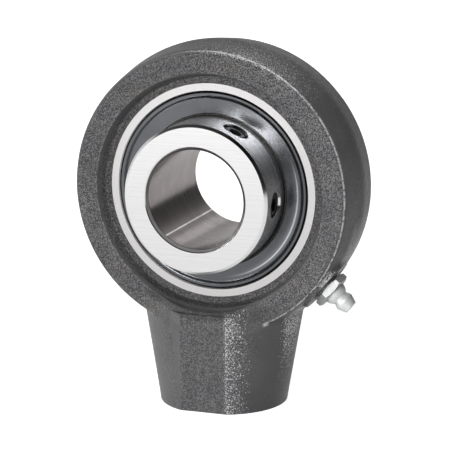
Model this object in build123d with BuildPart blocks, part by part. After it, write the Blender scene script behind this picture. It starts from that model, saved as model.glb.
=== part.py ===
from build123d import *
import os
from math import cos, radians, sin, sqrt, tan

# Hanger bearing unit: a round cast housing with a tapped pipe boss below it,
# carrying a self-aligning insert ball bearing with a set screw collar.
# Millimetres. The shaft axis is Y with the collar at -Y, the pipe boss points
# down along -Z, and the origin is the centre of the balls on the shaft axis.

# Inner ring and its collar
shaft_diameter = 31.75
collar_wall = 8.125
collar_reach = 25.4
rear_reach = 17.5
bore_chamfer = 1.1
collar_chamfer = 0.9

# Balls and raceways
ball_diameter = 11.112
ball_center_height = 2.75
ball_count = 9
first_ball_angle = 90.0
race_conformity = 0.52
ball_clearance = 0.03

# Outer ring
outer_ring_width = 20.0
outer_ring_wall = 3.694
ring_face_width = 2.74
seal_seat_depth = 2.8
seal_seat_step = 1.5
seal_seat_chamfer = 0.4
grease_groove_offset = 5.9
grease_groove_width = 3.0
grease_groove_depth = 0.9
grease_hole_diameter = 2.2
grease_hole_count = 3

# Pressed cage
cage_width = 3.8
cage_sheet = 0.9
pocket_clearance = 0.15
rivet_diameter = 1.6
rivet_head_diameter = 2.8
rivet_head_height = 0.6

# Steel shields and the rubber seals behind them
shield_sheet = 0.7
shield_setback = 0.2
shield_step = 0.7
shield_rim_width = 1.35
shield_rim_rounding = 0.3
shield_step_rounding = 0.6
shield_gap = 0.95
lip_width = 0.65
lip_setback = 0.2
lip_clearance = 0.08
seal_relief = 0.3

# Set screws in the collar
screw_diameter = 8.0
screw_inset = 0.7
screw_tip_setback = 0.4
screw_edge_distance = 8.4
screw_angles = {"set_screw_1": 63.0, "set_screw_2": -3.8}
screw_socket_flats = 4.0
screw_socket_depth = 3.4
screw_chamfer = 0.8
screw_cup_diameter = 4.4
screw_cup_angle = 60.0
screw_hole_countersink = 0.35
thread_clearance = 0.05

# Cast housing ring
housing_wall = 11.65
recess_depth = 4.0
recess_draft = 20.75
recess_rounding = 0.8
hub_face_width = 2.15
crown_draft = 8.2
crown_rounding = 18.0
rim_rounding = 2.0
seat_clearance = 0.05
loading_slot_clearance = 0.2

# Pipe boss with its flat pad
boss_length = 23.3
boss_root_depth = 5.3
boss_overhang = 6.7
boss_taper_across = 11.0
boss_taper_along = 5.2
boss_root_fillet = 3.0
boss_end_rounding = 0.3
pad_width = 15.8
pad_sink = 1.65
pad_side_sink = 0.35
pad_top_gap = 0.6
pipe_hole_diameter = 30.3
pipe_hole_depth = 23.0
pipe_hole_chamfer = 1.4

# Grease fitting and its boss on the housing ring
fitting_angle = -39.2
fitting_offset = 3.2
spot_face_depth = 0.8
spot_face_diameter = 15.0
fitting_boss_diameter = 19.0
fitting_boss_draft = 20.0
fitting_boss_depth = 5.0
fitting_thread_diameter = 8.6
fitting_thread_length = 6.0
fitting_hole_spare = 1.0
fitting_shank_chamfer = 0.8
fitting_shoulder_diameter = 9.4
fitting_shoulder_height = 0.7
fitting_hex_flats = 11.0
fitting_hex_height = 2.5
fitting_hex_turn = 7.0
fitting_hex_bevel = 30.0
fitting_flare_diameter = 7.8
fitting_flare_radius = 4.0
fitting_neck_diameter = 5.2
fitting_neck_height = 2.6
fitting_head_diameter = 6.6
fitting_head_rise = 1.7
fitting_crown_height = 2.85
fitting_head_rounding = 0.8
fitting_tip_diameter = 4.5
fitting_orifice_diameter = 1.5
fitting_orifice_length = 0.5
fitting_bore_diameter = 2.2
fitting_bore_floor = 0.4
fitting_passage_diameter = 1.4
check_ball_diameter = 2.0
check_ball_clearance = 0.02
spring_wire_diameter = 0.3
spring_diameter = 1.9
spring_turns = 6
grease_passage_diameter = 4.0

# Sizes that follow from the driving dimensions, from the shaft outwards
bore_radius = shaft_diameter / 2
inner_radius = bore_radius + collar_wall
inner_ring_width = collar_reach + rear_reach
ball_radius = ball_diameter / 2
pitch_radius = inner_radius + ball_center_height
race_radius = race_conformity * ball_diameter
race_offset = race_radius - ball_radius - ball_clearance
ball_spacing = 360 / ball_count
sphere_radius = pitch_radius + ball_radius + outer_ring_wall
ring_half_width = outer_ring_width / 2
ring_face_radius = sqrt(sphere_radius**2 - ring_half_width**2)
seal_seat_radius = ring_face_radius - ring_face_width
seal_seat_floor = ring_half_width - seal_seat_depth
outer_shoulder_radius = seal_seat_radius - seal_seat_step
seat_radius = sphere_radius + seat_clearance
seat_edge = sqrt(seat_radius**2 - ring_half_width**2)
hub_face_radius = seat_edge + hub_face_width
rim_half_width = ring_half_width + recess_depth
core_radius = hub_face_radius + recess_depth * tan(radians(recess_draft))
crown_radius = seat_radius + housing_wall
shoulder_radius = crown_radius - rim_half_width * tan(radians(crown_draft))
boss_reach = crown_radius + boss_length
spot_face_radius = crown_radius - spot_face_depth

os.makedirs("parts", exist_ok=True)


def save(part, name):
    part.label = name
    export_step(part, f"parts/{name}.step")


def radial_plane(angle, offset, distance):
    """Plane square to the radial line at an angle in XZ, at a place along the shaft."""
    outward = Vector(cos(radians(angle)), 0, sin(radians(angle)))
    along = Vector(0, offset, 0)
    return Plane(origin=along + outward * distance, x_dir=(0, 1, 0), z_dir=outward)


# Inner ring: one turned ring with the raceway and the set screw collar
screw_radius = screw_diameter / 2
screw_place = screw_edge_distance - collar_reach
screw_mouth = sqrt(inner_radius**2 - screw_radius**2) - screw_hole_countersink
with BuildPart() as inner_ring:
    with BuildSketch(Plane.XY) as inner_section:
        with Locations(((bore_radius + inner_radius) / 2, (rear_reach - collar_reach) / 2)):
            Rectangle(collar_wall, inner_ring_width)
        chamfer(inner_section.vertices().group_by(Axis.X)[0], bore_chamfer)
        chamfer(inner_section.vertices().group_by(Axis.X)[-1], collar_chamfer)
    revolve(axis=Axis.Y)
    Torus(pitch_radius + race_offset, race_radius, rotation=(90, 0, 0), mode=Mode.SUBTRACT)
    for angle in screw_angles.values():
        with BuildSketch(radial_plane(angle, screw_place, 0)):
            Circle(screw_radius)
        extrude(amount=sphere_radius, mode=Mode.SUBTRACT)
        with BuildSketch(radial_plane(angle, screw_place, screw_mouth)):
            Circle(screw_radius)
        extrude(amount=collar_wall, taper=-45, mode=Mode.SUBTRACT)
save(inner_ring.part, "inner_ring")

# Outer ring: spherical outside, seal seats at both sides, grease groove and holes
with BuildPart() as outer_ring:
    with BuildSketch(Plane.XY):
        with BuildLine():
            ThreePointArc(
                (ring_face_radius, -ring_half_width),
                (sphere_radius, 0),
                (ring_face_radius, ring_half_width),
            )
            Polyline(
                (ring_face_radius, ring_half_width),
                (seal_seat_radius + seal_seat_chamfer, ring_half_width),
                (seal_seat_radius, ring_half_width - seal_seat_chamfer),
                (seal_seat_radius, seal_seat_floor),
                (outer_shoulder_radius, seal_seat_floor),
                (outer_shoulder_radius, -seal_seat_floor),
                (seal_seat_radius, -seal_seat_floor),
                (seal_seat_radius, seal_seat_chamfer - ring_half_width),
                (seal_seat_radius + seal_seat_chamfer, -ring_half_width),
                (ring_face_radius, -ring_half_width),
            )
        make_face()
    revolve(axis=Axis.Y)
    Torus(pitch_radius - race_offset, race_radius, rotation=(90, 0, 0), mode=Mode.SUBTRACT)
    with BuildSketch(Plane.XY):
        with Locations((sphere_radius, -grease_groove_offset)):
            groove_floor = sqrt(sphere_radius**2 - grease_groove_offset**2) - grease_groove_depth
            Rectangle(2 * (sphere_radius - groove_floor), grease_groove_width)
    revolve(axis=Axis.Y, mode=Mode.SUBTRACT)
    for hole in range(grease_hole_count):
        hole_angle = first_ball_angle + hole * 360 / grease_hole_count
        with BuildSketch(radial_plane(hole_angle, -grease_groove_offset, 0)):
            Circle(grease_hole_diameter / 2)
        extrude(amount=sphere_radius, mode=Mode.SUBTRACT)
save(outer_ring.part, "outer_ring")

# Balls on the pitch circle
for number in range(ball_count):
    ball_angle = radians(first_ball_angle + number * ball_spacing)
    with BuildPart() as ball:
        with Locations((pitch_radius * cos(ball_angle), 0, pitch_radius * sin(ball_angle))):
            Sphere(ball_radius)
    save(ball.part, f"ball_{number + 1}")

# Pressed cage: two mirrored ribbons with a round pocket over each ball
pocket_radius = ball_radius + pocket_clearance
rivet_start = first_ball_angle + ball_spacing / 2
with BuildPart(Plane.XZ) as cage_front:
    with PolarLocations(pitch_radius, ball_count, start_angle=first_ball_angle):
        Sphere(pocket_radius + cage_sheet)
    with BuildSketch(Plane.XZ):
        Circle(pitch_radius + cage_width / 2)
        Circle(pitch_radius - cage_width / 2, mode=Mode.SUBTRACT)
    extrude(amount=cage_sheet)
    with BuildSketch(Plane.XZ):
        Circle(pitch_radius + cage_width / 2)
        Circle(pitch_radius - cage_width / 2, mode=Mode.SUBTRACT)
    extrude(amount=pocket_radius + cage_sheet, mode=Mode.INTERSECT)
    with PolarLocations(pitch_radius, ball_count, start_angle=first_ball_angle):
        Sphere(pocket_radius, mode=Mode.SUBTRACT)
    with BuildSketch(Plane.XZ):
        with PolarLocations(pitch_radius, ball_count, start_angle=rivet_start):
            Circle(rivet_diameter / 2)
    extrude(amount=cage_sheet, mode=Mode.SUBTRACT)
save(cage_front.part, "cage_front")

with BuildPart() as cage_rear:
    mirror(cage_front.part, about=Plane.XZ)
save(cage_rear.part, "cage_rear")

with BuildPart() as cage_rivets:
    with BuildSketch(Plane.XZ.offset(-cage_sheet)):
        with PolarLocations(pitch_radius, ball_count, start_angle=rivet_start):
            Circle(rivet_diameter / 2)
    extrude(amount=2 * cage_sheet)
    for head_plane in (Plane.XZ.offset(cage_sheet), Plane.XZ.offset(-cage_sheet - rivet_head_height)):
        with BuildSketch(head_plane):
            with PolarLocations(pitch_radius, ball_count, start_angle=rivet_start):
                Circle(rivet_head_diameter / 2)
        extrude(amount=rivet_head_height)
save(cage_rivets.part, "cage_rivets")

# Shields: dished steel plates pressed into the outer ring's seats
shield_face = ring_half_width - shield_setback
shield_floor = shield_face - shield_step
shield_back = shield_floor - shield_sheet
shield_inner_radius = inner_radius + shield_gap
step_outer = seal_seat_radius - shield_rim_width
step_inner = step_outer - shield_step
with BuildPart() as shield_front:
    with BuildSketch(Plane.XY) as shield_section:
        with BuildLine():
            Polyline(
                (seal_seat_radius, -shield_face),
                (step_outer, -shield_face),
                (step_inner, -shield_floor),
                (shield_inner_radius, -shield_floor),
                (shield_inner_radius, -shield_back),
                (seal_seat_radius, -shield_back),
                close=True,
            )
        make_face()
        step_corners = shield_section.vertices().filter_by_position(Axis.X, step_inner, step_outer)
        fillet(step_corners, shield_step_rounding)
        rim_corner = shield_section.vertices().group_by(Axis.Y)[0].sort_by(Axis.X)[-1]
        fillet(rim_corner, shield_rim_rounding)
    revolve(axis=Axis.Y)
save(shield_front.part, "shield_front")

with BuildPart() as shield_rear:
    mirror(shield_front.part, about=Plane.XZ)
save(shield_rear.part, "shield_rear")

# Seals: rubber washers behind the shields, a round lip filling the gap at the inner ring
lip_inner = inner_radius + lip_clearance
lip_outer = lip_inner + lip_width
lip_shoulder = shield_floor - lip_setback - lip_width / 2
with BuildPart() as seal_front:
    with BuildSketch(Plane.XY):
        with BuildLine():
            ThreePointArc(
                (lip_outer, -lip_shoulder),
                ((lip_inner + lip_outer) / 2, -lip_shoulder - lip_width / 2),
                (lip_inner, -lip_shoulder),
            )
            Polyline(
                (lip_inner, -lip_shoulder),
                (lip_inner, -shield_back),
                (lip_outer, -seal_seat_floor - seal_relief),
                (outer_shoulder_radius, -seal_seat_floor - seal_relief),
                (outer_shoulder_radius, -seal_seat_floor),
                (seal_seat_radius, -seal_seat_floor),
                (seal_seat_radius, -shield_back),
                (lip_outer, -shield_back),
                (lip_outer, -lip_shoulder),
            )
        make_face()
    revolve(axis=Axis.Y)
save(seal_front.part, "seal_front")

with BuildPart() as seal_rear:
    mirror(seal_front.part, about=Plane.XZ)
save(seal_rear.part, "seal_rear")

# Socket set screws with cup points
screw_head = inner_radius - screw_inset
screw_tip = bore_radius + screw_tip_setback
for name, angle in screw_angles.items():
    tip_plane = radial_plane(angle, screw_place, screw_tip)
    head_plane = radial_plane(angle, screw_place, screw_head)
    with BuildPart() as set_screw:
        with BuildSketch(tip_plane):
            Circle(screw_radius - thread_clearance)
        extrude(amount=screw_head - screw_tip)
        chamfer(set_screw.edges().filter_by(GeomType.CIRCLE), screw_chamfer)
        with BuildSketch(head_plane):
            RegularPolygon(screw_socket_flats / 2, 6, major_radius=False)
        extrude(amount=-screw_socket_depth, mode=Mode.SUBTRACT)
        with BuildSketch(tip_plane):
            Circle(screw_cup_diameter / 2)
        extrude(amount=screw_cup_diameter / 4, taper=screw_cup_angle, mode=Mode.SUBTRACT)
    save(set_screw.part, name)

# Housing: the ring, the pipe boss and the fitting's boss as one casting
boss_end_radius = rim_half_width + boss_overhang
boss_root_reach = core_radius - boss_root_depth
boss_rise = boss_reach - boss_root_reach
boss_root_across = boss_end_radius + boss_rise * tan(radians(boss_taper_across))
boss_root_along = boss_end_radius - boss_rise * tan(radians(boss_taper_along))
pad_face = boss_end_radius - pad_sink
pad_top = core_radius + pad_top_gap
pad_side_foot = (boss_end_radius - pad_side_sink) / sqrt(2)
slot_radius = seat_radius + loading_slot_clearance
slot_width = outer_ring_width + 2 * loading_slot_clearance
spot_plane = radial_plane(fitting_angle, -fitting_offset, spot_face_radius)


def boss_plane(reach):
    """Level plane below the shaft axis, its x axis along the shaft."""
    return Plane(origin=(0, 0, -reach), x_dir=(0, 1, 0), z_dir=(0, 0, 1))


with BuildPart() as housing:
    with BuildSketch(Plane.XY) as crown_section:
        with BuildLine():
            Polyline(
                (0, -rim_half_width),
                (shoulder_radius, -rim_half_width),
                (crown_radius, 0),
                (shoulder_radius, rim_half_width),
                (0, rim_half_width),
                close=True,
            )
        make_face()
        fillet(crown_section.vertices().group_by(Axis.X)[-1], crown_rounding)
        rim_corners = crown_section.vertices().group_by(Axis.Y)
        fillet([rim_corners[0].sort_by(Axis.X)[-1], rim_corners[-1].sort_by(Axis.X)[-1]], rim_rounding)
    revolve(axis=Axis.Y)
    with BuildSketch(boss_plane(boss_reach)):
        Circle(boss_end_radius)
    with BuildSketch(boss_plane(boss_root_reach)):
        Ellipse(boss_root_along, boss_root_across)
    loft()
    boss_roots = housing.edges().filter_by(GeomType.BSPLINE).filter_by_position(Axis.Z, -crown_radius, 0)
    fillet(boss_roots, boss_root_fillet)
    with BuildSketch(Plane.XY) as core_section:
        with BuildLine():
            ThreePointArc((seat_edge, -ring_half_width), (seat_radius, 0), (seat_edge, ring_half_width))
            Polyline(
                (seat_edge, ring_half_width),
                (hub_face_radius, ring_half_width),
                (core_radius, rim_half_width),
                (core_radius, boss_end_radius),
                (0, boss_end_radius),
                (0, -boss_end_radius),
                (core_radius, -boss_end_radius),
                (core_radius, -rim_half_width),
                (hub_face_radius, -ring_half_width),
                (seat_edge, -ring_half_width),
            )
        make_face()
        hub_corners = core_section.vertices().filter_by_position(Axis.X, hub_face_radius, hub_face_radius)
        fillet(hub_corners, recess_rounding)
    revolve(axis=Axis.Y, mode=Mode.SUBTRACT)
    with BuildSketch(Plane.XZ):
        Circle(slot_radius)
        Rectangle(2 * slot_radius, slot_width, mode=Mode.INTERSECT)
    extrude(amount=-rim_half_width, mode=Mode.SUBTRACT)
    with BuildSketch(Plane.XY.offset(-boss_reach)):
        with Locations((0, -pad_face)):
            Rectangle(2 * boss_end_radius, boss_overhang, align=(Align.CENTER, Align.MAX))
    extrude(amount=boss_reach - pad_top, mode=Mode.SUBTRACT)
    with BuildSketch(Plane.XY.offset(-boss_reach)):
        with BuildLine():
            Polyline(
                (-pad_width / 2, -pad_face),
                (pad_width / 2, -pad_face),
                (pad_side_foot, -pad_side_foot),
                (-pad_side_foot, -pad_side_foot),
                close=True,
            )
        make_face()
    extrude(amount=boss_reach - pad_top)
    fillet(housing.edges().group_by(Axis.Z)[0], boss_end_rounding)
    with BuildSketch(spot_plane):
        Circle(fitting_boss_diameter / 2)
    extrude(amount=-fitting_boss_depth, taper=-fitting_boss_draft)
    with BuildSketch(spot_plane):
        Circle(spot_face_diameter / 2)
    extrude(amount=spot_face_depth + rim_rounding, mode=Mode.SUBTRACT)
    with BuildSketch(boss_plane(boss_reach)):
        Circle(pipe_hole_diameter / 2)
    extrude(amount=pipe_hole_depth, mode=Mode.SUBTRACT)
    end_circles = housing.edges().filter_by(GeomType.CIRCLE).group_by(Axis.Z)[0]
    chamfer(end_circles.sort_by(SortBy.LENGTH)[0], pipe_hole_chamfer)
    with BuildSketch(spot_plane):
        Circle(fitting_thread_diameter / 2)
    extrude(amount=-fitting_thread_length - fitting_hole_spare, mode=Mode.SUBTRACT)
    with BuildSketch(spot_plane):
        Circle(grease_passage_diameter / 2)
    extrude(amount=-spot_face_radius, mode=Mode.SUBTRACT)
save(housing.part, "housing")

# Grease fitting: hexagon, waisted nozzle and drilled way, turned as one piece
fitting_hex_foot = spot_face_radius + fitting_shoulder_height
fitting_hex_top = fitting_hex_foot + fitting_hex_height
fitting_waist = fitting_hex_top + fitting_neck_height
fitting_bulge = fitting_waist + fitting_head_rise
fitting_tip = fitting_bulge + fitting_crown_height
fitting_shank_end = spot_face_radius - fitting_thread_length
fitting_shank_radius = fitting_thread_diameter / 2 - thread_clearance
hex_corner_radius = fitting_hex_flats / 2 / cos(radians(30))
hex_bevel_height = (hex_corner_radius - fitting_hex_flats / 2) * tan(radians(fitting_hex_bevel))
bore_floor = fitting_hex_foot + fitting_bore_floor
bore_top = fitting_tip - fitting_orifice_length


def fitting_plane(distance):
    """Plane square to the grease fitting's axis at a distance from the shaft axis."""
    return radial_plane(fitting_angle, -fitting_offset, distance)


fitting_origin = fitting_plane(0).origin
fitting_outward = fitting_plane(0).z_dir
fitting_axis = Axis(fitting_origin, fitting_outward)
fitting_section_plane = Plane(
    origin=fitting_origin,
    x_dir=(0, 1, 0),
    z_dir=Vector(0, 1, 0).cross(fitting_outward),
)
with BuildPart() as grease_fitting:
    with BuildSketch(fitting_plane(fitting_hex_foot)):
        RegularPolygon(fitting_hex_flats / 2, 6, major_radius=False, rotation=fitting_hex_turn)
    extrude(amount=fitting_hex_height)
    with BuildSketch(fitting_section_plane):
        with BuildLine():
            Polyline(
                (0, fitting_hex_foot),
                (fitting_hex_flats / 2, fitting_hex_foot),
                (hex_corner_radius, fitting_hex_foot + hex_bevel_height),
                (hex_corner_radius, fitting_hex_top - hex_bevel_height),
                (fitting_hex_flats / 2, fitting_hex_top),
                (0, fitting_hex_top),
                close=True,
            )
        make_face()
    revolve(axis=fitting_axis, mode=Mode.INTERSECT)
    with BuildSketch(fitting_section_plane) as nozzle_section:
        with BuildLine():
            Polyline(
                (0, fitting_shank_end),
                (fitting_shank_radius - fitting_shank_chamfer, fitting_shank_end),
                (fitting_shank_radius, fitting_shank_end + fitting_shank_chamfer),
                (fitting_shank_radius, spot_face_radius),
                (fitting_shoulder_diameter / 2, spot_face_radius),
                (fitting_shoulder_diameter / 2, fitting_hex_top),
                (fitting_flare_diameter / 2, fitting_hex_top),
            )
            RadiusArc(
                (fitting_flare_diameter / 2, fitting_hex_top),
                (fitting_neck_diameter / 2, fitting_waist),
                -fitting_flare_radius,
            )
            Polyline(
                (fitting_neck_diameter / 2, fitting_waist),
                (fitting_head_diameter / 2, fitting_bulge),
                (fitting_tip_diameter / 2, fitting_tip),
                (0, fitting_tip),
                (0, fitting_shank_end),
            )
        make_face()
        nozzle_corners = nozzle_section.vertices().filter_by_position(Axis.Y, fitting_bulge, fitting_bulge)
        fillet(nozzle_corners, fitting_head_rounding)
    revolve(axis=fitting_axis)
    with BuildSketch(fitting_plane(fitting_tip)):
        Circle(fitting_orifice_diameter / 2)
    extrude(amount=-fitting_orifice_length, mode=Mode.SUBTRACT)
    with BuildSketch(fitting_plane(bore_floor)):
        Circle(fitting_bore_diameter / 2)
    extrude(amount=bore_top - bore_floor, mode=Mode.SUBTRACT)
    with BuildSketch(fitting_plane(fitting_shank_end)):
        Circle(fitting_passage_diameter / 2)
    extrude(amount=bore_floor - fitting_shank_end, mode=Mode.SUBTRACT)
save(grease_fitting.part, "grease_fitting")

# Check ball closing the orifice from inside
check_ball_radius = check_ball_diameter / 2
ball_to_orifice = sqrt(check_ball_radius**2 - (fitting_orifice_diameter / 2) ** 2)
check_ball_place = bore_top - ball_to_orifice - check_ball_clearance
with BuildPart(fitting_plane(check_ball_place)) as fitting_ball:
    Sphere(check_ball_radius)
save(fitting_ball.part, "fitting_ball")

# Coil spring pushing the check ball outwards
wire_radius = spring_wire_diameter / 2
coil_radius = spring_diameter / 2 - wire_radius
ball_to_wire = sqrt((check_ball_radius + wire_radius + check_ball_clearance) ** 2 - coil_radius**2)
coil_foot = bore_floor + wire_radius + check_ball_clearance
coil_height = check_ball_place - ball_to_wire - coil_foot
with BuildPart() as fitting_spring:
    with BuildLine():
        coil = Helix(
            pitch=coil_height / spring_turns,
            height=coil_height,
            radius=coil_radius,
            center=fitting_plane(coil_foot).origin,
            direction=fitting_outward,
        )
    with BuildSketch(Plane(origin=coil @ 0, z_dir=coil % 0)):
        Circle(wire_radius)
    sweep(path=coil, is_frenet=True)
save(fitting_spring.part, "fitting_spring")
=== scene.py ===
from math import cos, pi, radians, sin
from types import SimpleNamespace

import bpy
from mathutils import Matrix, Vector


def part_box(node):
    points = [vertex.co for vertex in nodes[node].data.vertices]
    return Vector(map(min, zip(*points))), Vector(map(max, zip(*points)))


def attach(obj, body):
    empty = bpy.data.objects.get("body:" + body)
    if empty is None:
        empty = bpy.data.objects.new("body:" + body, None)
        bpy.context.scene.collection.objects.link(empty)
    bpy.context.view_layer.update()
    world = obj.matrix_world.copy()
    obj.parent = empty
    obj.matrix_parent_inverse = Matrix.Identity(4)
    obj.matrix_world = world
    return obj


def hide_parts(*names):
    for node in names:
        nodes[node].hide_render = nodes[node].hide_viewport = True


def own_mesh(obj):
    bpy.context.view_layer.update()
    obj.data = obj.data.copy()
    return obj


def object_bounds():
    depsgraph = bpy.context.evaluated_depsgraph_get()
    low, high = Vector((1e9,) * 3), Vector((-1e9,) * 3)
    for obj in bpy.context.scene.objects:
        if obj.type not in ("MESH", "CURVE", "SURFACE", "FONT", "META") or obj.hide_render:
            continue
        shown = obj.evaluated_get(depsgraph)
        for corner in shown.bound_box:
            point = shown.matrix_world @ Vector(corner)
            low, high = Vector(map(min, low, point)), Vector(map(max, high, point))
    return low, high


# The looks of a hanger bearing unit, on its solids, in metres. The shaft axis is Y with the collar
# at -Y, the pipe boss points down along -Z, and the origin is the centre of the ball row.

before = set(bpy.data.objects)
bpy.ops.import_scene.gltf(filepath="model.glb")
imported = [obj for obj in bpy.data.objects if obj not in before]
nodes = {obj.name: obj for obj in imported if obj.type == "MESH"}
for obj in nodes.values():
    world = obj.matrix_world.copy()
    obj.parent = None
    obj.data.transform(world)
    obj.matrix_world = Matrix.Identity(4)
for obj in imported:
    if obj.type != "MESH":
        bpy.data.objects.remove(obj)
cad_low, cad_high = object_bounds()
MM = 0.001


def radius_of(node):
    """Outer radius of a turned node about the shaft axis."""
    low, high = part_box(node)
    return high.x


bore_radius = 15.875 * MM
collar_radius = radius_of("inner_ring")
shield_radius = radius_of("shield_front")

# The boss leaves the ring at its top and ends in a flat face
boss_top = -34 * MM
boss_face = cad_low.z

# The grease fitting leans down to the right, and its hexagon ends this far from the ring's centre
fitting_slope = radians(39.2)
hexagon_top = 50.2 * MM

# The flat front of the housing's rim: its place along the shaft and its inner and outer radius
flat_tolerance = 0.01 * MM
upper_points = [vertex.co for vertex in nodes["housing"].data.vertices if vertex.co.z > 0]
rim_front = min(point.y for point in upper_points)
rim_half_width = -rim_front
rim_radii = [point.xz.length for point in upper_points if point.y < rim_front + flat_tolerance]
rim_inner_radius = min(rim_radii)
rim_outer_radius = max(rim_radii)


class Graph:
    """The shader nodes of one material or world, with short names for the common ones."""

    # Most of a noise's values lie between these two
    noise_spread = (0.3, 0.7)

    def __init__(self, owner):
        owner.use_nodes = True
        self.tree = owner.node_tree
        self.tree.nodes.clear()

    def add(self, kind, inputs=None, **settings):
        made = self.tree.nodes.new(kind)
        for name, value in settings.items():
            setattr(made, name, value)
        for name, value in (inputs or {}).items():
            self.feed(made.inputs[name], value)
        return made

    def feed(self, socket, value):
        if isinstance(value, bpy.types.NodeSocket):
            self.tree.links.new(value, socket)
        elif socket.type == "RGBA" and len(value) == 3:
            socket.default_value = (*value, 1.0)
        else:
            socket.default_value = value

    def math(self, operation, first, second=0.0):
        made = self.add("ShaderNodeMath", operation=operation)
        self.feed(made.inputs[0], first)
        self.feed(made.inputs[1], second)
        return made.outputs[0]

    def product(self, first, *others):
        for other in others:
            first = self.math("MULTIPLY", first, other)
        return first

    def largest(self, first, *others):
        for other in others:
            first = self.math("MAXIMUM", first, other)
        return first

    def weighed(self, *terms):
        """The sum of values, each times its weight."""
        parts = [self.math("MULTIPLY", value, weight) for value, weight in terms]
        total = parts[0]
        for part in parts[1:]:
            total = self.math("ADD", total, part)
        return total

    def between(self, share, first, second):
        """The first value where share is 0, and the second where it is 1."""
        return self.math("ADD", first, self.math("MULTIPLY", share, self.math("SUBTRACT", second, first)))

    def length(self, first, second):
        return self.math("SQRT", self.weighed((first, first), (second, second)))

    def degrees(self, rise, run):
        """The angle of a slope in all four quarters, in degrees."""
        return self.math("MULTIPLY", self.math("ARCTAN2", rise, run), 180 / pi)

    def place(self):
        return self.add("ShaderNodeTexCoord").outputs["Object"]

    def normal(self):
        return self.add("ShaderNodeNewGeometry").outputs["Normal"]

    def split(self, vector):
        made = self.add("ShaderNodeSeparateXYZ", {"Vector": vector})
        return made.outputs["X"], made.outputs["Y"], made.outputs["Z"]

    def join(self, x, y, z):
        return self.add("ShaderNodeCombineXYZ", {"X": x, "Y": y, "Z": z}).outputs[0]

    def unit(self, vector):
        return self.add("ShaderNodeVectorMath", {"Vector": vector}, operation="NORMALIZE").outputs[0]

    def scale(self, vector, factor):
        inputs = {"Vector": vector, "Scale": factor}
        return self.add("ShaderNodeVectorMath", inputs, operation="SCALE").outputs[0]

    def noise(self, size, vector=None, detail=2.0, roughness=0.5, along=None):
        """Noise whose blobs are about size metres across, in space or along one value."""
        settings = {"Scale": 1.0 / size, "Detail": detail, "Roughness": roughness}
        if along is not None:
            made = self.add("ShaderNodeTexNoise", {**settings, "W": along}, noise_dimensions="1D")
        else:
            made = self.add("ShaderNodeTexNoise", {**settings, "Vector": vector})
        return made.outputs["Fac"]

    def ramp(self, value, low, high, to_low=0.0, to_high=1.0, smooth=False):
        made = self.add(
            "ShaderNodeMapRange",
            {"Value": value, "From Min": low, "From Max": high, "To Min": to_low, "To Max": to_high},
            interpolation_type="SMOOTHSTEP" if smooth else "LINEAR",
        )
        return made.outputs["Result"]

    def fall(self, value, low, high, smooth=False):
        """1 up to low, and 0 from high on."""
        return self.ramp(value, low, high, to_low=1.0, to_high=0.0, smooth=smooth)

    def band(self, value, start, end, smooth=False):
        """Rises from 0 to 1 within the pair start, and falls back within the pair end."""
        return self.product(self.ramp(value, *start, smooth=smooth), self.fall(value, *end, smooth=smooth))

    def vary(self, noise, low, high):
        """A value between two, by the spread of a noise."""
        return self.ramp(noise, *self.noise_spread, low, high)

    def blend(self, share, first, second):
        made = self.add("ShaderNodeMix", data_type="RGBA")
        self.feed(made.inputs["Factor"], share)
        self.feed(made.inputs["A"], first)
        self.feed(made.inputs["B"], second)
        return made.outputs["Result"]

    def mottle(self, noise, dark, light):
        """A tone between two, by the spread of a noise."""
        return self.blend(self.ramp(noise, *self.noise_spread), dark, light)

    def bump(self, height, distance, strength=1.0, normal=None):
        inputs = {"Height": height, "Distance": distance, "Strength": strength}
        if normal is not None:
            inputs["Normal"] = normal
        return self.add("ShaderNodeBump", inputs).outputs["Normal"]

    def surface(self, **inputs):
        words = {name.replace("_", " "): value for name, value in inputs.items()}
        shader = self.add("ShaderNodeBsdfPrincipled", words)
        self.add("ShaderNodeOutputMaterial", {"Surface": shader.outputs["BSDF"]})


def material(name):
    made = bpy.data.materials.new(name)
    return made, Graph(made)


def finish_of(node, made):
    """Puts a material in every slot of a node."""
    mesh = nodes[node].data
    if not mesh.materials:
        mesh.materials.append(made)
    for slot in range(len(mesh.materials)):
        mesh.materials[slot] = made


# Casting: a dark coat over sand-cast grain, with painted shade and painted highlights
def cast_places(g):
    """Where each point of the casting is, and the zones that its looks go by."""
    at = SimpleNamespace(point=g.place())
    at.x, at.y, at.z = g.split(at.point)
    at.normal_x, at.normal_y, at.normal_z = g.split(g.normal())
    radius = g.length(at.x, at.z)

    # Distances outside the flat rim's inner and outer edges, in from its nearer face and back from
    # its front one
    at.past_inner = g.math("SUBTRACT", radius, rim_inner_radius)
    at.past_outer = g.math("SUBTRACT", radius, rim_outer_radius)
    at.depth = g.math("SUBTRACT", rim_half_width, g.math("ABSOLUTE", at.y))
    at.behind_front = g.math("SUBTRACT", at.y, rim_front)

    # Degrees round the shaft from the right side, and round the boss from its front
    at.around_ring = g.degrees(at.z, at.x)
    at.around_boss = g.degrees(at.x, g.math("MULTIPLY", at.y, -1.0))

    # How far the surface faces along the shaft, away from the ring's middle
    at.outward = g.math("MULTIPLY", at.normal_y, g.math("SIGN", at.y))

    at.on_boss = g.fall(at.z, boss_top - 3.0 * MM, boss_top - 0.5 * MM)
    at.off_boss = g.ramp(at.z, boss_top - 4.0 * MM, boss_top + 4.0 * MM)
    at.outside = g.ramp(at.past_outer, 0.4 * MM, 0.8 * MM)
    at.crown = g.product(at.outside, at.off_boss)
    at.recess = g.product(
        g.ramp(at.depth, 0.8 * MM, 2.0 * MM),
        g.fall(at.past_outer, -1.5 * MM, -0.5 * MM),
    )
    at.rim_edge = g.product(
        g.band(at.past_outer, start=(-0.6 * MM, -0.3 * MM), end=(2.0 * MM, 2.6 * MM)),
        g.fall(at.depth, 1.6 * MM, 2.0 * MM),
    )
    return at


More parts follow.
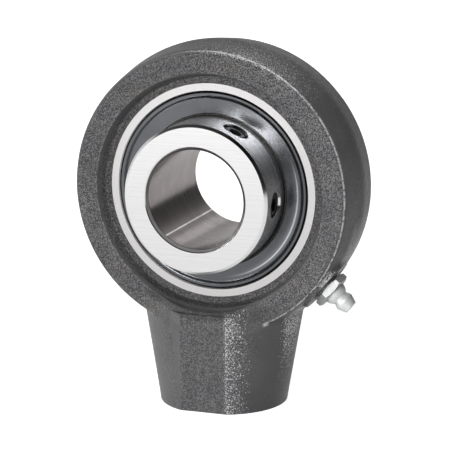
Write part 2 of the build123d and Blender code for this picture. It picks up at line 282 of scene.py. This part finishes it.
def edge_highlight_line(g, at):
    """A painted highlight in chips along the narrow line where the rim's edge turns over, on the right
    side.
    """
    chip_size = 0.9 * MM
    return g.product(
        g.band(at.outward, start=(0.56, 0.66), end=(0.76, 0.86)),
        at.rim_edge,
        g.ramp(g.noise(chip_size, at.point, detail=3.0), 0.39, 0.52),
        g.ramp(at.x, -12 * MM, 6 * MM),
        g.largest(g.ramp(at.z, -10 * MM, 0.0), g.ramp(at.x, 9 * MM, 17 * MM)),
    )


def recess_lip_highlight(g, at):
    """A painted highlight in a broken light line at the recess's edge, on the left side."""
    break_size = 0.7 * MM
    return g.product(
        g.band(at.past_inner, start=(-0.25 * MM, -0.05 * MM), end=(0.1 * MM, 0.3 * MM)),
        g.fall(at.depth, 0.4 * MM, 0.6 * MM),
        g.ramp(g.noise(break_size, at.point), 0.46, 0.58),
        g.fall(at.x, -26 * MM, -20 * MM),
    )


def glint_grains(g, at):
    """Painted glints on single grains on the boss, on the crown and by the fitting."""
    beside_pad = g.product(
        g.band(at.around_boss, start=(19.0, 22.0), end=(22.0, 47.0)),
        g.ramp(at.z, -68 * MM, boss_top, to_low=0.85, to_high=1.0),
    )
    right_strip = g.product(
        g.band(at.around_boss, start=(68.0, 75.0), end=(86.0, 96.0)),
        g.ramp(at.z, -64 * MM, -44 * MM),
    )
    boss_glints = g.product(
        at.on_boss,
        g.largest(beside_pad, right_strip),
        g.fall(at.recess, 0.2, 0.8),
        g.ramp(at.past_inner, 0.0, 1.5 * MM),
    )
    crown_glints = g.product(
        g.band(at.around_ring, start=(38.0, 58.0), end=(78.0, 104.0)),
        g.ramp(at.behind_front, 0.5 * MM, 16 * MM, to_low=0.80, to_high=0.15),
        at.outside,
    )
    by_fitting = g.product(
        g.band(at.around_ring, start=(-38.5, -37.0), end=(-30.0, -28.5)),
        g.ramp(at.behind_front, 3.0 * MM, 5.5 * MM, to_low=1.25, to_high=0.0),
        g.ramp(at.behind_front, 0.8 * MM, 1.6 * MM),
        at.outside,
    )
    glint_zone = g.largest(boss_glints, crown_glints, by_fitting)

    # The stronger the painted glint zone, the lower the noise value at which a grain shows
    spot_size = 0.36 * MM
    glint_lift = 0.30
    spots = g.weighed((g.noise(spot_size, at.point, detail=0.0), 1.0), (glint_zone, glint_lift))
    return g.product(g.ramp(spots, 0.78, 0.84), g.ramp(glint_zone, 0.02, 0.1))


def crown_sheen_strip(g, at, grain):
    """A painted highlight on the tops of the grain along the crown above the fitting."""
    return g.product(
        g.band(at.around_ring, start=(-36.0, -31.0), end=(-24.0, -8.0)),
        at.outside,
        g.ramp(at.y, -6.5 * MM, -4.0 * MM),
        g.ramp(grain, 0.42, 0.58, to_low=0.2, to_high=1.0),
    )


def coat_grain_and_painted_shade(g, at, facing, grain):
    """How light the coat is at each place, as a share of its own tone: its grain, with painted shade and
    painted light by zone.
    """
    hollows = 0.40
    tops = 2.12
    share = g.between(facing, 1.0, g.ramp(grain, 0.38, 0.62, hollows, tops))
    # Painted shade on the boss just below the ring
    share = g.product(share, g.ramp(at.z, boss_top - 8.0 * MM, boss_top, to_low=0.90, to_high=1.0))
    low_wall = g.product(
        at.recess,
        g.fall(at.outward, 0.60, 0.90),
        g.fall(at.z, -34 * MM, -16 * MM),
    )
    hollow_above_pad = g.product(
        g.band(at.past_inner, start=(-1.0 * MM, 0.0), end=(1.8 * MM, 2.8 * MM)),
        g.fall(at.z, boss_top, boss_top + 4.0 * MM),
        g.band(at.x, start=(-26 * MM, -20 * MM), end=(9 * MM, 13 * MM)),
    )
    boss_side = g.product(
        g.band(at.around_boss, start=(26.0, 40.0), end=(70.0, 90.0)),
        at.on_boss,
    )
    near_ridge = g.product(at.crown, g.ramp(at.y, -7.0 * MM, -1.0 * MM))
    rim_right = g.product(
        g.fall(at.outside, 0.0, 1.0),
        g.ramp(at.x, 0.0, 30 * MM, smooth=True),
        at.off_boss,
    )

    # Painted shade and painted light: each zone with its factor away from it and inside it. The recess, its
    # low wall, the hollow above the pad, the boss's side and the crown by its ridge are painted darker, and
    # the rim's right side lighter
    painted_shades = (
        (at.recess, 1.0, 0.87),
        (low_wall, 0.98, 0.50),
        (hollow_above_pad, 1.0, 0.66),
        (boss_side, 1.0, 0.78),
        (at.crown, 1.0, 0.92),
        (near_ridge, 1.0, 0.78),
        (rim_right, 1.08, 1.30),
    )
    for zone, away, inside in painted_shades:
        share = g.product(share, g.ramp(zone, 0.0, 1.0, to_low=away, to_high=inside))
    return share


def cast_iron():
    made, g = material("cast_iron")
    at = cast_places(g)
    grain = g.noise(0.32 * MM, at.point, detail=0.5)
    lumps = g.noise(2.4 * MM, at.point)
    patches = g.noise(12 * MM, at.point, detail=3.0)

    # The grain is full on the faces across the shaft and faint on the smoother crown and boss
    facing = g.product(
        g.ramp(at.outward, 0.78, 0.98, to_low=0.18, to_high=1.0),
        g.ramp(at.z, boss_top - 4.0 * MM, boss_top, to_low=0.65, to_high=1.0),
    )
    facing = g.largest(facing, g.product(at.recess, 0.8))

    # Near the rim's edge the surface seems to turn over more sharply than it does
    sideways = g.between(at.rim_edge, 1.0, g.fall(at.outward, 0.66, 0.80))
    turned = g.join(g.product(at.normal_x, sideways), at.normal_y, g.product(at.normal_z, sideways))
    height = g.weighed((lumps, 1.2), (grain, 1.0))
    normal = g.bump(height, distance=g.product(facing, 1.1 * MM), normal=g.unit(turned))

    coat_dark = (0.097, 0.097, 0.101)
    coat_light = (0.115, 0.112, 0.110)
    coat = g.blend(g.ramp(patches, 0.35, 0.7), coat_dark, coat_light)
    tone = g.scale(coat, coat_grain_and_painted_shade(g, at, facing, grain))

    # Each painted highlight with how far it covers the coat, and its own tone
    painted_glint_tone = (0.62, 0.62, 0.63)
    painted_highlights = (
        (edge_highlight_line(g, at), 0.8, (0.50, 0.50, 0.50)),
        (recess_lip_highlight(g, at), 0.6, (0.36, 0.36, 0.37)),
        (crown_sheen_strip(g, at, grain), 0.85, painted_glint_tone),
        (glint_grains(g, at), 0.85, painted_glint_tone),
    )
    for zone, cover, highlight_tone in painted_highlights:
        tone = g.blend(g.product(zone, cover), tone, highlight_tone)

    g.surface(
        Base_Color=tone,
        Metallic=0.0,
        Roughness=g.vary(g.noise(1.1 * MM, at.point), 0.34, 0.46),
        Specular_IOR_Level=g.ramp(at.crown, 0.0, 1.0, to_low=0.25, to_high=0.12),
        Normal=normal,
    )
    return made


# Turned and ground steel of the bearing rings
def turned_lines(g, radius):
    return g.noise(0.14 * MM, along=radius, detail=3.0, roughness=0.7)


def turned_surface(g, tone, rough, normal, anisotropic):
    """Metal whose highlights are drawn out across the lines of turning."""
    quarter_turn = 0.25
    g.surface(
        Base_Color=tone,
        Metallic=1.0,
        Roughness=rough,
        Normal=normal,
        Anisotropic=anisotropic,
        Anisotropic_Rotation=quarter_turn,
        Tangent=g.add("ShaderNodeTangent", direction_type="RADIAL", axis="Y").outputs["Tangent"],
    )


def outer_steel():
    made, g = material("outer_ring_steel")
    x, y, z = g.split(g.place())
    lines = turned_lines(g, g.length(x, z))
    tone = g.mottle(lines, dark=(0.60, 0.585, 0.585), light=(0.70, 0.69, 0.69))
    normal = g.bump(lines, distance=0.01 * MM, strength=0.4)
    turned_surface(g, tone, g.vary(lines, 0.16, 0.24), normal, anisotropic=0.1)
    return made


def inner_steel():
    made, g = material("inner_ring_steel")
    point = g.place()
    x, y, z = g.split(point)
    radius = g.length(x, z)
    lines = turned_lines(g, radius)
    rings = g.noise(0.22 * MM, along=y, detail=4.0, roughness=0.7)
    streaks = g.noise(0.5 * MM, along=z, detail=3.0, roughness=0.6)
    smear = g.noise(5 * MM, point, detail=3.0)

    # The surfaces by their radius, from the shaft outwards
    bore = g.fall(radius, bore_radius + 0.05 * MM, bore_radius + 0.15 * MM)
    mouth = g.fall(radius, bore_radius + 0.75 * MM, bore_radius + 0.9 * MM)
    flank = g.ramp(radius, collar_radius - 0.15 * MM, collar_radius - 0.05 * MM)
    turned = g.largest(bore, flank)

    face_tone = g.mottle(lines, dark=(0.745, 0.74, 0.74), light=(0.825, 0.82, 0.825))
    face_tone = g.scale(face_tone, g.ramp(streaks, 0.35, 0.65, to_low=0.955, to_high=1.03))
    # The mouth's chamfer is painted lighter low down and darker high up, as painted light and shade
    mouth_painted_light = (0.50, 0.49, 0.49)
    mouth_painted_shade = (0.14, 0.13, 0.13)
    face_tone = g.blend(mouth, face_tone, g.blend(g.ramp(z, -10 * MM, 2 * MM), mouth_painted_light, mouth_painted_shade))

    flank_tone = g.mottle(rings, dark=(0.42, 0.415, 0.41), light=(0.56, 0.555, 0.55))
    # The flank is painted lighter towards the top and darker towards the bottom, as painted light and shade
    flank_tone = g.scale(flank_tone, g.ramp(z, -12 * MM, 20 * MM, to_low=0.72, to_high=1.5))

    # The bore has one painted highlight along it, a narrow streak at the lower left
    bore_tone = g.mottle(smear, dark=(0.19, 0.17, 0.165), light=(0.25, 0.225, 0.22))
    bore_highlight = g.band(g.degrees(z, x), start=(-130.9, -130.2), end=(-129.0, -128.3))
    bore_highlight = g.product(bore_highlight, g.ramp(smear, 0.3, 0.6, to_low=0.6, to_high=1.0))
    bore_highlight_tone = (0.95, 0.91, 0.90)
    bore_tone = g.blend(bore_highlight, bore_tone, bore_highlight_tone)

    tone = g.blend(flank, g.blend(bore, face_tone, bore_tone), flank_tone)
    height = g.math("ADD", g.product(lines, g.math("SUBTRACT", 1.0, turned)), g.product(rings, turned))
    normal = g.bump(height, distance=0.006 * MM, strength=0.5)
    rough = g.blend(turned, g.vary(lines, 0.13, 0.19), g.vary(rings, 0.18, 0.28))
    mouth_rough = (0.5, 0.5, 0.5)
    rough = g.blend(g.math("SUBTRACT", mouth, bore), rough, mouth_rough)
    turned_surface(g, tone, rough, normal, anisotropic=g.ramp(turned, 0.0, 1.0, to_low=0.0, to_high=0.7))
    return made


# Pressed steel of the shields
def shield_steel():
    made, g = material("shield_steel")
    point = g.place()
    x, y, z = g.split(point)
    from_edge = g.math("SUBTRACT", g.length(x, z), shield_radius)
    tone = g.mottle(g.noise(9 * MM, point), dark=(0.116, 0.120, 0.128), light=(0.134, 0.138, 0.146))
    # Painted shadow: the outermost edge is near black, as the gap at the ring's seat
    gap_shadow_tone = (0.006, 0.006, 0.006)
    tone = g.blend(g.ramp(from_edge, -0.55 * MM, -0.4 * MM), tone, gap_shadow_tone)

    # An arc at the lower right carries a painted highlight, in a soft band with a narrow streak in it
    arc = g.band(g.degrees(z, x), start=(-85.0, -45.0), end=(0.0, 30.0), smooth=True)
    soft_band = g.band(from_edge, start=(-5.2 * MM, -3.6 * MM), end=(-3.2 * MM, -2.2 * MM), smooth=True)
    streak = g.band(from_edge, start=(-3.80 * MM, -3.45 * MM), end=(-3.35 * MM, -3.05 * MM))
    arc_sheen_tone = (0.36, 0.37, 0.39)
    arc_highlight_tone = (0.80, 0.82, 0.85)
    tone = g.blend(g.product(soft_band, arc, 0.3), tone, arc_sheen_tone)
    tone = g.blend(g.product(streak, arc, 0.7), tone, arc_highlight_tone)
    g.surface(Base_Color=tone, Metallic=1.0, Roughness=g.vary(g.noise(5 * MM, point), 0.25, 0.28))
    return made


def plain_steel(name, dark, light, roughness, metallic=1.0):
    """Metal with a faint mottle between two tones and two roughnesses."""
    made, g = material(name)
    point = g.place()
    tone = g.mottle(g.noise(1.5 * MM, point, detail=4.0), dark, light)
    rough = g.vary(g.noise(0.6 * MM, point), *roughness)
    g.surface(Base_Color=tone, Metallic=metallic, Roughness=rough)
    return made


def bright_zinc():
    """Zinc plate, with the marks of the drawn bar on the hexagon's flats, and painted shade on faces that
    turn away from the front.
    """
    made, g = material("bright_zinc")
    point = g.place()
    x, y, z = g.split(point)
    forward = g.split(g.normal())[1]
    along = g.weighed((x, cos(fitting_slope)), (z, -sin(fitting_slope)))
    across = g.weighed((x, sin(fitting_slope)), (z, cos(fitting_slope)))
    hexagon = g.fall(along, hexagon_top - 0.05 * MM, hexagon_top + 0.05 * MM)
    slanted = g.weighed((across, 0.8), (y, 0.8), (along, 0.5))
    marks = g.noise(0.32 * MM, along=slanted, roughness=0.6)
    # Painted shade: the hexagon's flats and the turned faces are darker the more they turn away from the
    # front
    flats = g.product(
        g.ramp(forward, -0.90, -0.55, to_low=0.60, to_high=0.50),
        g.ramp(marks, 0.35, 0.65, to_low=0.84, to_high=1.12),
    )
    turned = g.ramp(forward, -0.95, -0.1, to_low=1.0, to_high=0.62)
    patches = g.noise(1.5 * MM, point, detail=4.0)
    tone = g.mottle(patches, dark=(0.72, 0.725, 0.73), light=(0.78, 0.785, 0.79))
    g.surface(
        Base_Color=g.scale(tone, g.between(hexagon, turned, flats)),
        Metallic=0.4,
        Roughness=g.vary(g.noise(0.6 * MM, point), 0.44, 0.5),
    )
    return made


def seal_rubber():
    made, g = material("seal_rubber")
    point = g.place()
    dark = (0.010, 0.010, 0.010)
    light = (0.022, 0.020, 0.019)
    tone = g.blend(g.noise(2 * MM, point), dark, light)
    g.surface(Base_Color=tone, Roughness=g.vary(g.noise(0.8 * MM, point), 0.22, 0.38))
    return made


ball_count = 9
black_oxide = plain_steel(
    "black_oxide", dark=(0.012, 0.012, 0.012), light=(0.03, 0.03, 0.03), roughness=(0.3, 0.45), metallic=0.6
)
cage_steel = plain_steel(
    "cage_steel", dark=(0.5, 0.49, 0.47), light=(0.62, 0.61, 0.59), roughness=(0.25, 0.4)
)
polished_steel = plain_steel(
    "polished_steel", dark=(0.8, 0.8, 0.8), light=(0.86, 0.86, 0.86), roughness=(0.06, 0.1)
)
spring_steel = plain_steel(
    "spring_steel", dark=(0.5, 0.5, 0.5), light=(0.6, 0.6, 0.6), roughness=(0.25, 0.35)
)
finishes = (
    (cast_iron(), ["housing"]),
    (outer_steel(), ["outer_ring"]),
    (inner_steel(), ["inner_ring"]),
    (shield_steel(), ["shield_front", "shield_rear"]),
    (seal_rubber(), ["seal_front", "seal_rear"]),
    (bright_zinc(), ["grease_fitting"]),
    (black_oxide, ["set_screw_1", "set_screw_2"]),
    (cage_steel, ["cage_front", "cage_rear", "cage_rivets"]),
    (polished_steel, [f"ball_{number}" for number in range(1, ball_count + 1)] + ["fitting_ball"]),
    (spring_steel, ["fitting_spring"]),
)
for made, names in finishes:
    for name in names:
        finish_of(name, made)


# The check ball's spring as a piece of its own, carried with the housing
def check_ball_spring():
    source = nodes["fitting_spring"]
    piece = bpy.data.objects.new("check_ball_spring", source.data.copy())
    bpy.context.scene.collection.objects.link(piece)
    piece.matrix_world = source.matrix_world.copy()
    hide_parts("fitting_spring")
    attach(piece, "housing")
    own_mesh(piece)


check_ball_spring()


# Studio: white surround, pale floor, soft lamps
def direction(azimuth, elevation):
    """Unit vector towards a place seen from the object. Azimuth 0 is the front, 90 the right side."""
    turn = radians(azimuth)
    rise = radians(elevation)
    return Vector((sin(turn) * cos(rise), -cos(turn) * cos(rise), sin(rise)))


def background_rays(g, rays):
    """1 for the rays that show the background itself, in mirrors and glass too."""
    return g.largest(rays["Is Camera Ray"], rays["Is Glossy Ray"], rays["Is Transmission Ray"])


def studio_world():
    """White behind the object, a little light from all round and more from the rear."""
    ambient = 0.05
    rear_fill = 0.6
    white = (1.0, 1.0, 1.0)
    world = bpy.data.worlds.new("studio")
    bpy.context.scene.world = world
    g = Graph(world)
    x, y, z = g.split(g.add("ShaderNodeTexCoord").outputs["Generated"])
    rays = g.add("ShaderNodeLightPath").outputs
    shown = background_rays(g, rays)

    # Mirrors show the surround bright low down, behind and on the left
    mirrored = g.product(
        g.ramp(z, 0.40, 0.62, to_low=0.8, to_high=0.1, smooth=True),
        g.ramp(y, -0.35, 0.25, to_low=0.2, to_high=1.0, smooth=True),
        g.ramp(x, 0.20, 0.30, to_low=1.0, to_high=0.08, smooth=True),
    )
    level = g.largest(rays["Is Camera Ray"], g.product(shown, mirrored))
    fill = g.ramp(y, -0.1, 0.7, to_low=ambient, to_high=rear_fill)
    light = g.add("ShaderNodeBackground", {"Color": white, "Strength": fill})
    surround = g.add("ShaderNodeBackground", {"Color": white, "Strength": level})
    both = g.add("ShaderNodeMixShader", {0: shown, 1: light.outputs[0], 2: surround.outputs[0]})
    g.add("ShaderNodeOutputWorld", {"Surface": both.outputs[0]})


def pale_floor():
    """A floor that fades into the white surround, and is clear from below."""
    near_lift = 0.82
    made, g = material("pale_floor")
    x, y, z = g.split(g.place())
    rays = g.add("ShaderNodeLightPath").outputs
    fading = g.ramp(g.length(x, y), 0.1, 0.9, to_low=near_lift, to_high=1.0, smooth=True)
    seen = g.product(rays["Is Camera Ray"], fading)
    mirrored = g.product(background_rays(g, rays), g.ramp(y, -0.02, 0.12, to_low=0.38, to_high=0.62))
    diffuse = g.add("ShaderNodeBsdfDiffuse", {"Color": (0.8, 0.8, 0.8)})
    glow = g.add("ShaderNodeEmission", {"Color": (1.0, 1.0, 1.0), "Strength": g.largest(seen, mirrored)})
    lit = g.add("ShaderNodeAddShader", {0: diffuse.outputs[0], 1: glow.outputs[0]})
    clear = g.add("ShaderNodeBsdfTransparent")
    below = g.add("ShaderNodeNewGeometry").outputs["Backfacing"]
    either = g.add("ShaderNodeMixShader", {0: below, 1: lit.outputs[0], 2: clear.outputs[0]})
    g.add("ShaderNodeOutputMaterial", {"Surface": either.outputs[0]})
    return made


def studio_floor():
    reach = 4.0
    level = boss_face - 0.05 * MM
    around = ((-reach, -reach), (reach, -reach), (reach, reach), (-reach, reach))
    mesh = bpy.data.meshes.new("floor")
    mesh.from_pydata([(x, y, level) for x, y in around], [], [(0, 1, 2, 3)])
    mesh.materials.append(pale_floor())
    floor = bpy.data.objects.new("floor", mesh)
    bpy.context.scene.collection.objects.link(floor)


def soft_lamp(name, azimuth, elevation, distance, width, height, power):
    lamp = bpy.data.lights.new(name, "AREA")
    lamp.shape = "RECTANGLE"
    lamp.size = width
    lamp.size_y = height
    lamp.energy = power
    holder = bpy.data.objects.new(name, lamp)
    away = direction(azimuth, elevation)
    holder.location = away * distance
    holder.rotation_mode = "QUATERNION"
    holder.rotation_quaternion = away.to_track_quat("Z", "Y")
    bpy.context.scene.collection.objects.link(holder)


studio_world()
studio_floor()
soft_lamp("front_lamp", azimuth=0, elevation=20, distance=2.0, width=0.80, height=0.49, power=34.6)
soft_lamp("left_lamp", azimuth=-48, elevation=9, distance=2.0, width=0.80, height=0.49, power=14.5)
soft_lamp("back_lamp", azimuth=180, elevation=38, distance=0.9, width=0.20, height=0.20, power=0.5)


def camera():
    """The view from the right of the front and a little above."""
    azimuth = 20.68
    elevation = 12.80
    roll = radians(-0.323)
    distance = 0.7862
    aim_right = 0.595 * MM
    aim_down = 12.977 * MM
    back = direction(azimuth, elevation)
    right = Vector((cos(radians(azimuth)), sin(radians(azimuth)), 0.0))
    up = back.cross(right)
    turned_right = cos(roll) * right + sin(roll) * up
    turned_up = cos(roll) * up - sin(roll) * right
    lens = bpy.data.cameras.new("camera")
    lens.sensor_width = 36.0
    lens.lens = 195.5
    holder = bpy.data.objects.new("camera", lens)
    place = distance * back + aim_right * turned_right - aim_down * turned_up
    axes = Matrix((turned_right, turned_up, back)).transposed().to_4x4()
    holder.matrix_world = Matrix.Translation(place) @ axes
    bpy.context.scene.collection.objects.link(holder)
    bpy.context.scene.camera = holder


camera()
bpy.context.scene.view_settings.view_transform = "Standard"
